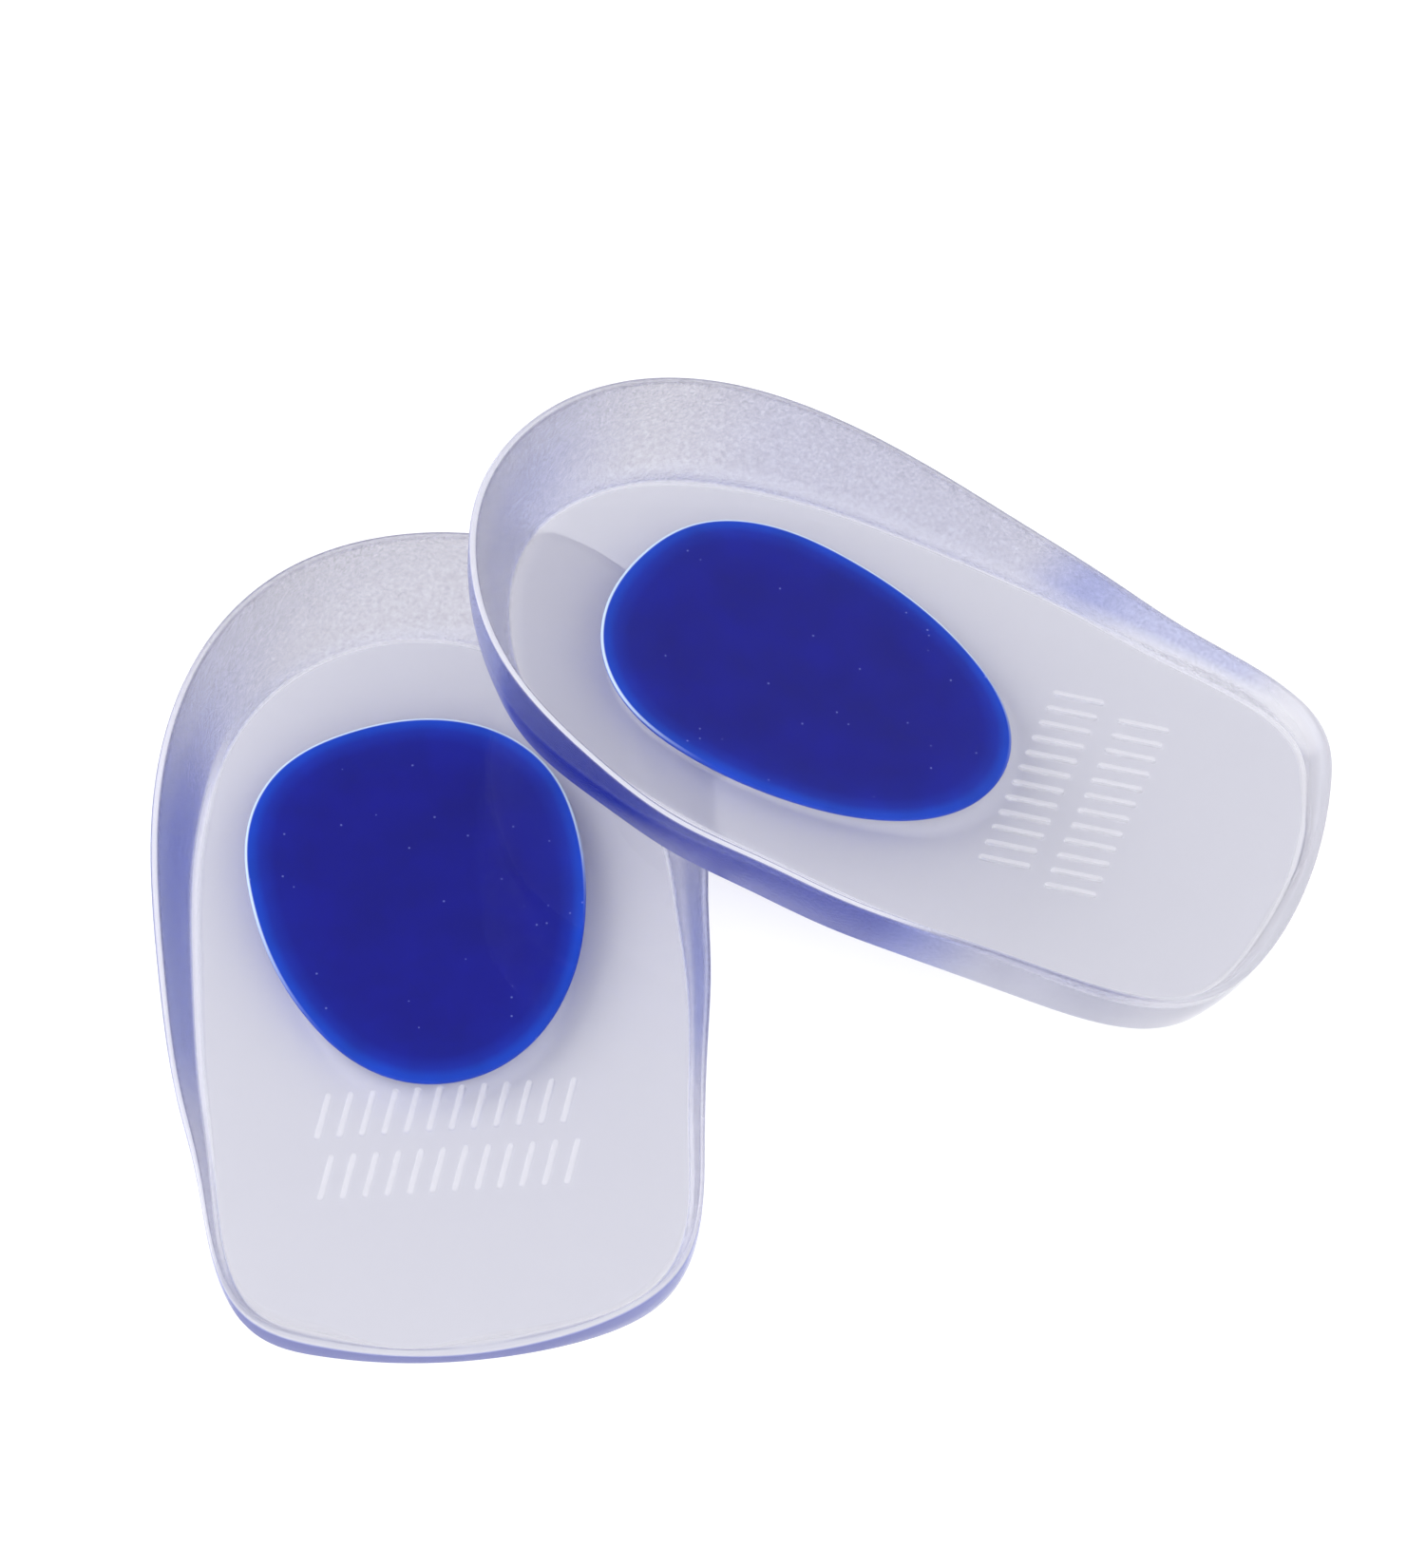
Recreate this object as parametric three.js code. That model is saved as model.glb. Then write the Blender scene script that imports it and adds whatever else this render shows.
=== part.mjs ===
import * as THREE from "three";

// A pair of silicone gel heel cups, one for each foot. Each cup is a clear moulded shell: a flat
// tongue that runs forward under the arch and a rim that climbs round the heel. A soft blue gel
// pad fills an egg-shaped pocket in the underside of the shell, under the heel bone. The left
// cup lies flat. The right cup, its mirror image, rests across the left one: its underside sits
// on the left cup's inner rim and the front of its tongue touches the surface beside it.
//
// Cup frame: origin on the underside below the middle of the pad, +Z up, +Y towards the heel,
// +X towards the inner side of the foot. Millimetres and degrees.

// ---- driving dimensions -------------------------------------------------------------------
// Plan outlines are polar: the angle is counted from the heel (+Y), clockwise seen from above.
const OUTLINE_DEG = [0, 22, 44, 66, 88, 108, 124, 137, 147, 156, 165, 173, 180, 187, 195, 204, 213, 223, 236, 252, 272, 294, 316, 338];
const RIM_RADIUS = [41.26, 41.33, 40.45, 36.66, 34.78, 35.57, 40.01, 46.5, 55.91, 67.23, 71.22, 71.67, 71.82, 72.0, 72.16, 69.64, 57.78, 48.81, 41.58, 36.62, 34.4, 34.79, 37.0, 39.83]; // outer edge of the rim
const FOOT_INSET = [7.59, 7.68, 6.88, 5.74, 4.5, 3.24, 2.93, 2.46, 2.63, 1.95, 1.61, 2.22, 2.17, 1.29, 2.7, 2.19, 3.12, 4.6, 5.2, 5.22, 5.33, 5.49, 5.29, 6.8]; // rim's outer edge to the foot of the inner wall
const BASE_DEG = [0, 44, 88, 124, 147, 165, 180, 195, 213, 236, 272, 316];
const BASE_INSET = [4.29, 7.53, 4.3, 1.87, 1.35, 1.7, 1.65, 1.7, 1.96, 2.18, 2.61, 3.31]; // rim's outer edge to the edge of the underside
const RIM_DEG = [0, 40, 80, 110, 135, 160, 180, 200, 225, 250, 280, 320];
const RIM_HEIGHT = [18.68, 18.4, 11.73, 8.91, 7.5, 7.18, 4.77, 6.25, 9.1, 12.63, 16.21, 19.35]; // top of the rim above the underside
const PAD_DEG = [0, 24, 48, 72, 96, 120, 144, 168, 192, 216, 240, 264, 288, 312, 336];
const PAD_RADIUS = [21.89, 21.66, 20.75, 19.35, 19.26, 21.24, 25.65, 30.6, 31.35, 27.32, 24.0, 22.86, 23.56, 23.78, 22.45]; // outline of the gel pad

const RIM_WIDTH = 1.0; // flat top of the rim
const FLOOR_THICKNESS = 6.46; // sole at the middle of the pad
const FLOOR_SLOPE = 0.0314; // sole thickens towards the heel, mm per mm
const EDGE_RADIUS = 0.8; // rounding of the bottom edge
const FILLET = 1.6; // rounding at the foot of the inner wall
const WALL_BULGE = 0.045; // outward bow of the wall, per mm of its height
const SKIN = 1.9; // clear gel over the pad
const PAD_LEAN = 2.5; // how far the pad's side leans in, from its top edge down to its underside
const GAP = 0.3; // pad to pocket wall
const SEGMENTS = 112; // points round every ring

const LEFT = { x: -39.046, y: 8.787, yaw: 4.601 };
const RIGHT = { x: 1.89, y: 26.792, z: 16.159, yaw: 69.278, pitch: 10.704, roll: 9.985 };

const CLEAR_GEL = { color: 0xd9d9ea, roughness: 0.12, metalness: 0, transparent: true, opacity: 0.45 };
const BLUE_GEL = { color: 0x2a2f8c, roughness: 0.35, metalness: 0 };

// ---- closed smooth curve through polar stations ----------------------------------------------
function closedSpline(degrees, values) {
  const n = values.length,
    t = degrees.map((d) => (d * Math.PI) / 180);
  const h = t.map((a, i) => (i + 1 < n ? t[i + 1] : t[0] + 2 * Math.PI) - a);
  // second derivatives of the periodic cubic spline, by Gaussian elimination
  const m = Array.from({ length: n }, () => new Array(n + 1).fill(0));
  for (let i = 0; i < n; i++) {
    const p = (i + n - 1) % n,
      q = (i + 1) % n;
    m[i][p] += h[p];
    m[i][i] += 2 * (h[p] + h[i]);
    m[i][q] += h[i];
    m[i][n] = 6 * ((values[q] - values[i]) / h[i] - (values[i] - values[p]) / h[p]);
  }
  for (let c = 0; c < n; c++)
    for (let r = c + 1; r < n; r++) {
      const f = m[r][c] / m[c][c];
      if (f) for (let k = c; k <= n; k++) m[r][k] -= f * m[c][k];
    }
  const s = new Array(n).fill(0);
  for (let r = n - 1; r >= 0; r--) {
    let v = m[r][n];
    for (let k = r + 1; k < n; k++) v -= m[r][k] * s[k];
    s[r] = v / m[r][r];
  }
  return (angle) => {
    let a = angle % (2 * Math.PI);
    if (a < 0) a += 2 * Math.PI;
    let i = n - 1;
    while (i > 0 && t[i] > a) i--;
    const q = (i + 1) % n,
      b = (a - t[i]) / h[i],
      c = 1 - b;
    return (
      c * values[i] +
      b * values[q] +
      (((c * c * c - c) * s[i] + (b * b * b - b) * s[q]) * h[i] * h[i]) / 6
    );
  };
}

const rimRadius = closedSpline(OUTLINE_DEG, RIM_RADIUS);
const footInset = closedSpline(OUTLINE_DEG, FOOT_INSET);
const baseInset = closedSpline(BASE_DEG, BASE_INSET);
const rimHeight = closedSpline(RIM_DEG, RIM_HEIGHT);
const padRadius = closedSpline(PAD_DEG, PAD_RADIUS);
const floorAt = (y) => FLOOR_THICKNESS + FLOOR_SLOPE * y; // top of the sole
const ceilingAt = (y) => floorAt(y) - SKIN; // roof of the pocket
const padTopAt = (y) => ceilingAt(y) - GAP;

// The pad's side leans in below its top edge, the more the lower: its radius at a height z.
const BEND = 0.46; // share of the pocket's depth at which the lean changes
const sideAt = (a, z) => {
  const roof = ceilingAt(padRadius(a) * Math.cos(a)),
    bend = BEND * roof;
  const lean = z < bend ? 1 - (0.57 * z) / bend : 0.43 * (1 - (z - bend) / (roof - bend));
  return padRadius(a) - PAD_LEAN * lean;
};
const bendAt = (a) => BEND * ceilingAt(padRadius(a) * Math.cos(a));

// Angles that space the points evenly along the rim.
function evenAngles(count) {
  const fine = 3600,
    along = [0];
  let last = null;
  for (let i = 0; i <= fine; i++) {
    const a = (2 * Math.PI * i) / fine,
      r = rimRadius(a),
      p = [r * Math.sin(a), r * Math.cos(a)];
    if (last) along.push(along[along.length - 1] + Math.hypot(p[0] - last[0], p[1] - last[1]));
    last = p;
  }
  const total = along[fine],
    out = [];
  let j = 0;
  for (let k = 0; k < count; k++) {
    const want = (total * k) / count;
    while (along[j + 1] < want) j++;
    out.push((2 * Math.PI * (j + (want - along[j]) / (along[j + 1] - along[j]))) / fine);
  }
  return out;
}
const ANGLES = evenAngles(SEGMENTS);

const polar = (a, r, z) => [r * Math.sin(a), r * Math.cos(a), z];
const ring = (f) => ANGLES.map(f);
const at = (heightAt) => (a, r) => polar(a, r, heightAt(r * Math.cos(a)));

// Rings of one cup's shell, from the middle of the pocket's roof, down its wall, out along the
// underside, up the outer wall, over the rim and back in across the sole.
function shellRings() {
  const roof = at(ceilingAt),
    sole = at(floorAt);
  const section = (a) => {
    const H = rimHeight(a),
      ro = rimRadius(a),
      rb = ro - baseInset(a),
      ri = ro - RIM_WIDTH,
      rf = ro - footInset(a),
      foot = [rf, floorAt(rf * Math.cos(a))];
    return { H, ro, rb, ri, foot };
  };
  const rings = [];
  rings.push(ring((a) => roof(a, 0.55 * (padRadius(a) + GAP))));
  rings.push(ring((a) => roof(a, padRadius(a) + GAP)));
  rings.push(ring((a) => polar(a, sideAt(a, bendAt(a)) + GAP, bendAt(a))));
  rings.push(ring((a) => polar(a, sideAt(a, 0) + GAP, 0)));
  rings.push(ring((a) => polar(a, section(a).rb - EDGE_RADIUS, 0)));
  rings.push(ring((a) => polar(a, section(a).rb - 0.293 * EDGE_RADIUS, 0.293 * EDGE_RADIUS)));
  rings.push(ring((a) => polar(a, section(a).rb, EDGE_RADIUS)));
  for (const t of [0.35, 0.7])
    rings.push(
      ring((a) => {
        const { H, ro, rb } = section(a);
        return polar(
          a,
          rb + (ro - rb) * t + WALL_BULGE * H * Math.sin(Math.PI * t),
          EDGE_RADIUS + (H - EDGE_RADIUS) * t,
        );
      }),
    );
  rings.push(ring((a) => polar(a, section(a).ro, section(a).H)));
  rings.push(ring((a) => polar(a, section(a).ri, section(a).H)));
  const inner = (a, t) => {
    const { H, ri, foot } = section(a),
      dr = foot[0] - ri,
      dz = foot[1] - H,
      length = Math.hypot(dr, dz),
      f = Math.min(FILLET, 0.45 * length) / length;
    // t from 0 at the rim to 1 where the fillet starts, and to 2 where it runs out into the sole
    if (t <= 1) {
      const s = t * (1 - f),
        bow = WALL_BULGE * (H - foot[1]) * Math.sin(Math.PI * s);
      return [ri + dr * s + bow, H + dz * s];
    }
    const u = t - 1,
      p = [foot[0] - f * dr, foot[1] - f * dz],
      q = [foot[0] - f * length, null];
    q[1] = floorAt(q[0] * Math.cos(a));
    const bow = WALL_BULGE * (H - foot[1]) * Math.sin(Math.PI * (1 - f)) * (1 - u) ** 2;
    return [0, 1].map(
      (k) => (1 - u) ** 2 * p[k] + 2 * u * (1 - u) * foot[k] + u * u * q[k] + (k ? 0 : bow),
    );
  };
  for (const t of [0.5, 1, 1.35, 1.7, 2]) rings.push(ring((a) => polar(a, ...inner(a, t))));
  for (const k of [0.7, 0.35]) rings.push(ring((a) => sole(a, k * inner(a, 2)[0])));
  return { first: polar(0, 0, ceilingAt(0)), rings, last: polar(0, 0, floorAt(0)) };
}

// Rings of one gel pad, from the middle of its underside to the middle of its top.
function padRings() {
  const top = at(padTopAt),
    round = 0.9,
    edge = (a) => padTopAt(padRadius(a) * Math.cos(a));
  return {
    first: [0, 0, 0],
    rings: [
      ring((a) => polar(a, sideAt(a, 0) - 0.3, 0)),
      ring((a) => polar(a, sideAt(a, 0.3), 0.3)),
      ring((a) => polar(a, sideAt(a, bendAt(a)), bendAt(a))),
      ring((a) => polar(a, sideAt(a, edge(a) - round), edge(a) - round)),
      ring((a) => polar(a, sideAt(a, edge(a)) - 0.3 * round, edge(a) - 0.3 * round)),
      ring((a) => top(a, padRadius(a) - round)),
      ring((a) => top(a, 0.5 * padRadius(a))),
    ],
    last: [0, 0, padTopAt(0)],
  };
}

// A closed body from a first point, rings of equal length and a last point. mirror builds the
// other foot's body.
function closedBody({ first, rings, last }, mirror) {
  const n = SEGMENTS,
    side = mirror ? -1 : 1,
    positions = [],
    index = [];
  const put = ([x, y, z]) => positions.push(side * x, y, z);
  put(first);
  rings.forEach((r) => r.forEach(put));
  put(last);
  const face = (a, b, c) => (mirror ? index.push(a, c, b) : index.push(a, b, c));
  const id = (k, i) => 1 + k * n + (i % n);
  const end = 1 + rings.length * n;
  for (let i = 0; i < n; i++) {
    face(0, id(0, i), id(0, i + 1));
    for (let k = 0; k + 1 < rings.length; k++) {
      face(id(k, i), id(k + 1, i), id(k + 1, i + 1));
      face(id(k, i), id(k + 1, i + 1), id(k, i + 1));
    }
    face(end, id(rings.length - 1, i + 1), id(rings.length - 1, i));
  }
  const g = new THREE.BufferGeometry();
  g.setAttribute("position", new THREE.Float32BufferAttribute(positions, 3));
  g.setIndex(index);
  g.computeVertexNormals();
  return g;
}

function cup(side, mirror) {
  const group = new THREE.Group();
  const shell = new THREE.Mesh(closedBody(shellRings(), mirror), new THREE.MeshStandardMaterial(CLEAR_GEL));
  shell.name = side + "_cup_shell";
  const pad = new THREE.Mesh(closedBody(padRings(), mirror), new THREE.MeshStandardMaterial(BLUE_GEL));
  pad.name = side + "_gel_pad";
  group.add(shell, pad);
  return group;
}

const rad = THREE.MathUtils.degToRad;
const pair = new THREE.Group();

const left = cup("left", false);
left.position.set(LEFT.x, LEFT.y, 0);
left.rotation.z = rad(LEFT.yaw);

const right = cup("right", true);
right.position.set(RIGHT.x, RIGHT.y, RIGHT.z);
right.rotation.order = "ZXY"; // yaw, then pitch about its own cross axis, then roll about its length
right.rotation.set(rad(RIGHT.pitch), rad(RIGHT.roll), rad(RIGHT.yaw));

pair.add(left, right);
export default pair;
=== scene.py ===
"""A pair of silicone gel heel cups, clear moulded shells with a soft blue gel pad under each heel.

The left cup lies flat on the floor and the right cup, its mirror image, rests across it. Each
cup is built in its own frame in millimetres (origin on the underside below the middle of the
pad, +Z up, +Y to the heel, +X to the inner side of the foot) and then placed where the CAD
model has it.
"""

import math

import bpy
import numpy as np
from mathutils import Matrix, Vector
from mathutils.geometry import delaunay_2d_cdt


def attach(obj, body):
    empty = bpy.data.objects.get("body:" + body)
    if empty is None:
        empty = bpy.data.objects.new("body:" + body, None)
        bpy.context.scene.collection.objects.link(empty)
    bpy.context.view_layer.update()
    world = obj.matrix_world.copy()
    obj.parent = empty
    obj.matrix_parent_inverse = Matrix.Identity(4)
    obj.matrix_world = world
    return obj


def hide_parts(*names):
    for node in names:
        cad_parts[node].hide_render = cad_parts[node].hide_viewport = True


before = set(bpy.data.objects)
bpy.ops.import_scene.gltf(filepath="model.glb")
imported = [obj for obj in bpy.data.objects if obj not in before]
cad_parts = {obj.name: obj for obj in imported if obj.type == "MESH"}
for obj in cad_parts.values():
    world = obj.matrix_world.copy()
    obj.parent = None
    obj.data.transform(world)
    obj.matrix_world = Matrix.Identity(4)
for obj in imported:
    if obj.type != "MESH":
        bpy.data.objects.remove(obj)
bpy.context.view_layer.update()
scene = bpy.context.scene
MM = 0.001

# ---------------------------------------------------------------------------- camera
ELEVATION = math.radians(55.319)
TARGET = Vector((-4.0104, 24.6131, 0.0)) * MM
DISTANCE = 1733.4 * MM
BACK = Vector((0.0, -math.cos(ELEVATION), math.sin(ELEVATION)))
cam_data = bpy.data.cameras.new("camera")
cam_data.sensor_width = 36.0
cam_data.sensor_fit = "AUTO"
cam_data.lens = 14580.0 * 36.0 / 1650.0
cam_data.clip_start, cam_data.clip_end = 0.1, 20.0
camera = bpy.data.objects.new("camera", cam_data)
scene.collection.objects.link(camera)
camera.location = TARGET + BACK * DISTANCE
camera.rotation_mode = "QUATERNION"
camera.rotation_quaternion = (-BACK).to_track_quat("-Z", "Y")
scene.camera = camera

# ---------------------------------------------------------------------------- dimensions
# The cup's own dimensions, the same as the CAD model's.
OUTLINE_DEG = [0, 22, 44, 66, 88, 108, 124, 137, 147, 156, 165, 173, 180, 187, 195, 204, 213, 223, 236, 252, 272, 294, 316, 338]
RIM_RADIUS = [41.26, 41.33, 40.45, 36.66, 34.78, 35.57, 40.01, 46.5, 55.91, 67.23, 71.22, 71.67, 71.82, 72.0, 72.16, 69.64, 57.78, 48.81, 41.58, 36.62, 34.4, 34.79, 37.0, 39.83]
FOOT_INSET = [7.59, 7.68, 6.88, 5.74, 4.5, 3.24, 2.93, 2.46, 2.63, 1.95, 1.61, 2.22, 2.17, 1.29, 2.7, 2.19, 3.12, 4.6, 5.2, 5.22, 5.33, 5.49, 5.29, 6.8]
BASE_DEG = [0, 44, 88, 124, 147, 165, 180, 195, 213, 236, 272, 316]
BASE_INSET = [4.29, 7.53, 4.3, 1.87, 1.35, 1.7, 1.65, 1.7, 1.96, 2.18, 2.61, 3.31]
RIM_DEG = [0, 40, 80, 110, 135, 160, 180, 200, 225, 250, 280, 320]
RIM_HEIGHT = [18.68, 18.4, 11.73, 8.91, 7.5, 7.18, 4.77, 6.25, 9.1, 12.63, 16.21, 19.35]
PAD_DEG = [0, 24, 48, 72, 96, 120, 144, 168, 192, 216, 240, 264, 288, 312, 336]
PAD_RADIUS = [21.89, 21.66, 20.75, 19.35, 19.26, 21.24, 25.65, 30.6, 31.35, 27.32, 24.0, 22.86, 23.56, 23.78, 22.45]
RIM_WIDTH = 1.0
FLOOR_THICKNESS = 6.46
FLOOR_SLOPE = 0.0314
EDGE_RADIUS = 0.8
FILLET = 1.6
WALL_BULGE = 0.045
SKIN = 1.9
LEFT = {"x": -39.046, "y": 8.787, "z": 0.0, "yaw": 4.601, "pitch": 0.0, "roll": 0.0}
RIGHT = {"x": 1.89, "y": 26.792, "z": 16.159, "yaw": 69.278, "pitch": 10.704, "roll": 9.985}

POINTS = 600  # points round every ring
RIM_ROUND = 0.42  # rounding of the rim's two edges
PAD_OVERLAP = 0.04  # the pad is bonded into the shell, so its skin lies just inside the clear gel
PAD_ROUND = 0.3  # how far in the pad's top edge starts to round over
PAD_TAPER = 2.5  # how far the pad's side leans in from its top edge to its underside
RIB_HEIGHT, RIB_HALF_WIDTH, RIB_FLAT = 0.45, 0.55, 0.22
RIB_ROWS = [(-0.6, -36.4), (-0.8, -45.2)]  # the middle of each row of grip ribs on the tongue
RIB_PITCH, RIB_LENGTH, RIB_SLANT, RIB_COUNT = 2.75, 5.6, 17.0, 12


# ---------------------------------------------------------------------------- curves
def closed_spline(degrees, values):
    """A periodic cubic spline through polar stations, as a function of an array of angles."""
    t, v = np.radians(np.array(degrees, float)), np.array(values, float)
    n = len(v)
    h = np.append(t[1:], t[0] + 2 * np.pi) - t
    a, rhs = np.zeros((n, n)), np.zeros(n)
    for i in range(n):
        p, q = (i - 1) % n, (i + 1) % n
        a[i, p] += h[p]
        a[i, i] += 2 * (h[p] + h[i])
        a[i, q] += h[i]
        rhs[i] = 6 * ((v[q] - v[i]) / h[i] - (v[i] - v[p]) / h[p])
    s = np.linalg.solve(a, rhs)

    def at(angle):
        x = np.mod(angle, 2 * np.pi)
        i = np.searchsorted(t, x, side="right") - 1
        q = (i + 1) % n
        b = (x - t[i]) / h[i]
        c = 1 - b
        return c * v[i] + b * v[q] + ((c**3 - c) * s[i] + (b**3 - b) * s[q]) * h[i] ** 2 / 6

    return at


rim_radius = closed_spline(OUTLINE_DEG, RIM_RADIUS)
foot_inset = closed_spline(OUTLINE_DEG, FOOT_INSET)
base_inset = closed_spline(BASE_DEG, BASE_INSET)
rim_height = closed_spline(RIM_DEG, RIM_HEIGHT)
pad_radius = closed_spline(PAD_DEG, PAD_RADIUS)


def floor_at(y):
    return FLOOR_THICKNESS + FLOOR_SLOPE * y


def even_angles(count):
    """Angles that space the points evenly along the rim."""
    a = np.linspace(0, 2 * np.pi, 7201)
    r = rim_radius(a)
    x, y = r * np.sin(a), r * np.cos(a)
    along = np.append(0, np.cumsum(np.hypot(np.diff(x), np.diff(y))))
    return np.interp(np.arange(count) * along[-1] / count, along, a)


ANG = even_angles(POINTS)
SIN, COS = np.sin(ANG), np.cos(ANG)


def bezier(p, c, q, steps, first=False):
    """Points of a quadratic curve from p to q, each an (r, z) pair of arrays."""
    ts = np.linspace(0, 1, steps + 1)
    out = []
    for u in ts if first else ts[1:]:
        out.append(tuple((1 - u) ** 2 * p[k] + 2 * u * (1 - u) * c[k] + u * u * q[k] for k in (0, 1)))
    return out


def smooth(x):
    x = np.clip(x, 0, 1)
    return x * x * (3 - 2 * x)


# ---------------------------------------------------------------------------- shell section
# strength of the painted shade band on the middle of the outer sides
BAND_SIDE = 1.0
MARKS = ("wall", "outer", "rim", "crease", "under", "rib", "milk", "shade", "mottle", "band", "front")
SIDE = smooth((np.abs(rim_radius(ANG) * SIN) - 24) / 9)  # 1 along the two sides
TOE = smooth((-rim_radius(ANG) * COS - 54) / 10)  # 1 along the front of the tongue, where the rim is low and clear
ALONG = rim_radius(ANG) * COS  # how far towards the heel each point of the outline lies
WAIST = smooth((ALONG + 34) / 10) * smooth((36 - ALONG) / 10)  # 1 along the middle of the outer sides, where the painted shade band lies
HOLLOW = smooth((25 - ALONG) / 15) * (0.25 + 0.75 * smooth((ALONG + 42) / 16))  # where along the inner sides their painted shade lies, strongest about the middle


def shell_section(facing_shade, inner_shade):
    """The rings of the shell as (r, z, *marks), from the pocket's mouth out along the underside,
    up the outer wall, over the rim and down to where the fillet meets the sole. The marks are
    wall: 1 on the moulded walls and 0 on the polished sole, outer: 1 on the outer wall, scaled by
    its painted shade, rim: a painted highlight, 1 along the rim's top and along the fillet of the
    side walls, crease: a painted dark line along the rim's rounded edges, under: 1 on the matt
    underside, rib: 1 on the grip ribs, milk: 1 on the front of the tongue's rim, shade: painted
    shade on the inner side walls, mottle: where the grain mottles the colour, band: painted shade, 1 on the outer
    wall along the middle of each side, front: painted shade, 1 on the outer wall round the front of the tongue. The
    two arguments are how much painted shade, a deeper blue, the outer wall and the inner sides get at each angle, by
    which way they face, from 0 to 1."""
    H, ro = rim_height(ANG), rim_radius(ANG)
    rb, ri, rf = ro - base_inset(ANG), ro - RIM_WIDTH, ro - foot_inset(ANG)
    zf = floor_at(rf * COS)
    rings = []

    def put(points, *marks):
        """marks are numbers or functions of the point's count, in the order of MARKS."""
        marks = (*marks, 0.0, 0.0, 0.0, 0.0, 0.0)[:5]
        for k, (r, z) in enumerate(points):
            values = [(m(k) if callable(m) else m) + 0 * ANG for m in marks]
            values[0] = values[0] * (1 - 0.6 * values[1] * (1 - facing_shade) * smooth((-30 - ALONG) / 12))
            values += [0 * ANG, values[0] * TOE, values[0] * SIDE * inner_shade]
            values += [values[0] * (1 - TOE) * (1 - values[2])]
            values[1] = values[1] * facing_shade
            values[2] = values[2] * (1 - 0.9 * TOE)
            values[3] = values[3] * (1 - 0.95 * TOE)
            # band and front: painted shade on the outer wall, along the middle of each side and round the front of
            # the tongue
            values += [values[1] * BAND_SIDE * SIDE * WAIST, values[1] * TOE]
            rings.append((r + 0 * ANG, z + 0 * ANG, *values))

    # outer wall, bowed a little, from t = 0 at the rounded bottom edge to t = 1 at the rim
    def outer(t):
        return (
            rb + (ro - rb) * t + WALL_BULGE * H * np.sin(np.pi * t) * (t > 0),
            EDGE_RADIUS + (H - EDGE_RADIUS) * t,
        )

    lean = (ro - rb) / (H - EDGE_RADIUS)
    corner = (rb - lean * EDGE_RADIUS, 0 * ANG)
    t_start = 0.15 * EDGE_RADIUS / (H - EDGE_RADIUS)
    edge_in = (corner[0] - EDGE_RADIUS * 1.2, 0 * ANG)
    pocket = pocket_profile()[0]  # the mouth of the pocket on the underside
    for u in (0.0, 0.12, 0.35, 0.65, 0.9):
        put([(pocket[0] + (edge_in[0] - pocket[0]) * u, 0 * ANG)], 0.0, 0.0, 0.0, 0.0, 1.0)
    put(
        bezier(edge_in, corner, outer(t_start), 7, first=True),
        lambda k: min(1.0, k / 5),
        lambda k: min(1.0, k / 5),
        0.0,
        0.0,
        lambda k: max(0.0, 1 - k / 5),
    )
    d = RIM_ROUND / np.maximum(H - EDGE_RADIUS, 1)
    for k in range(1, 19):
        put([outer(t_start + (1 - d - t_start) * k / 18)], 1.0, 1.0)
    # the rim's two rounded edges with a narrow, slightly crowned land between them
    top = (ro, H)
    land = 0.05
    # painted highlight along the rim's top, stronger where the outer wall gets more painted shade
    rim_highlight = 0.3 + 0.7 * facing_shade
    # painted shade: a dark line on the outer rounded edge, strongest where the outer wall gets least painted shade
    put(
        bezier(outer(1 - d), top, (ro - RIM_ROUND, H + 0 * H), 6),
        1.0,
        lambda k: (1, 0.8, 0.4, 0.1, 0, 0)[k],
        lambda k: (0, 0.2, 0.6, 0.9, 1, 1)[k] * rim_highlight,
        lambda k: (0, 0.6, 1, 1, 0.9, 0.4)[k] * (1 - facing_shade),
    )
    put([(ro - RIM_WIDTH / 2, H + land * 0.4)], 1.0, 0.0, rim_highlight)

    length = np.hypot(rf - ri, zf - H)
    bow_full = WALL_BULGE * (H - zf)

    def inner(s):
        return (ri + (rf - ri) * s + bow_full * np.sin(np.pi * s), H + (zf - H) * s)

    f = np.minimum(FILLET, 0.45 * length) / length
    f = f + (0.72 - f) * TOE
    s0 = np.minimum(RIM_ROUND / length, 0.2)
    put([(ri + np.minimum(RIM_ROUND, 0.3 * length), H)], 1.0, 0.0, rim_highlight)
    # painted shade: a dark line where the rim turns into the inner wall
    put(
        bezier((ri + np.minimum(RIM_ROUND, 0.3 * length), H), (ri, H), inner(s0), 6),
        1.0,
        0.0,
        lambda k: (1, 0.7, 0.3, 0, 0, 0)[k] * rim_highlight,
        lambda k: (0, 0.3, 1, 1, 0.5, 0)[k] * (0.1 + 0.6 * facing_shade),
    )
    for k in range(1, 19):
        put([inner(s0 + (1 - f - s0) * k / 18)], 1.0)
    q = rf - f * length * 1.1
    # a painted highlight along the fillet of the side walls
    put(
        bezier(inner(1 - f), (rf + 0.25 * bow_full * np.sin(np.pi * (1 - f)), zf), (q, floor_at(q * COS)), 9),
        lambda k: max(0.0, 1 - (k + 1) / 8),
        0.0,
        lambda k: (0, 0.4, 0.9, 1, 0.9, 0.4, 0, 0, 0)[k] * facing_shade * SIDE,
    )
    # a few rings of flat sole, so that the fillet ends cleanly
    for gap in (0.12, 0.35, 0.75):
        put([(q - gap, floor_at((q - gap) * COS))], 0.0)
    return rings


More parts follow.
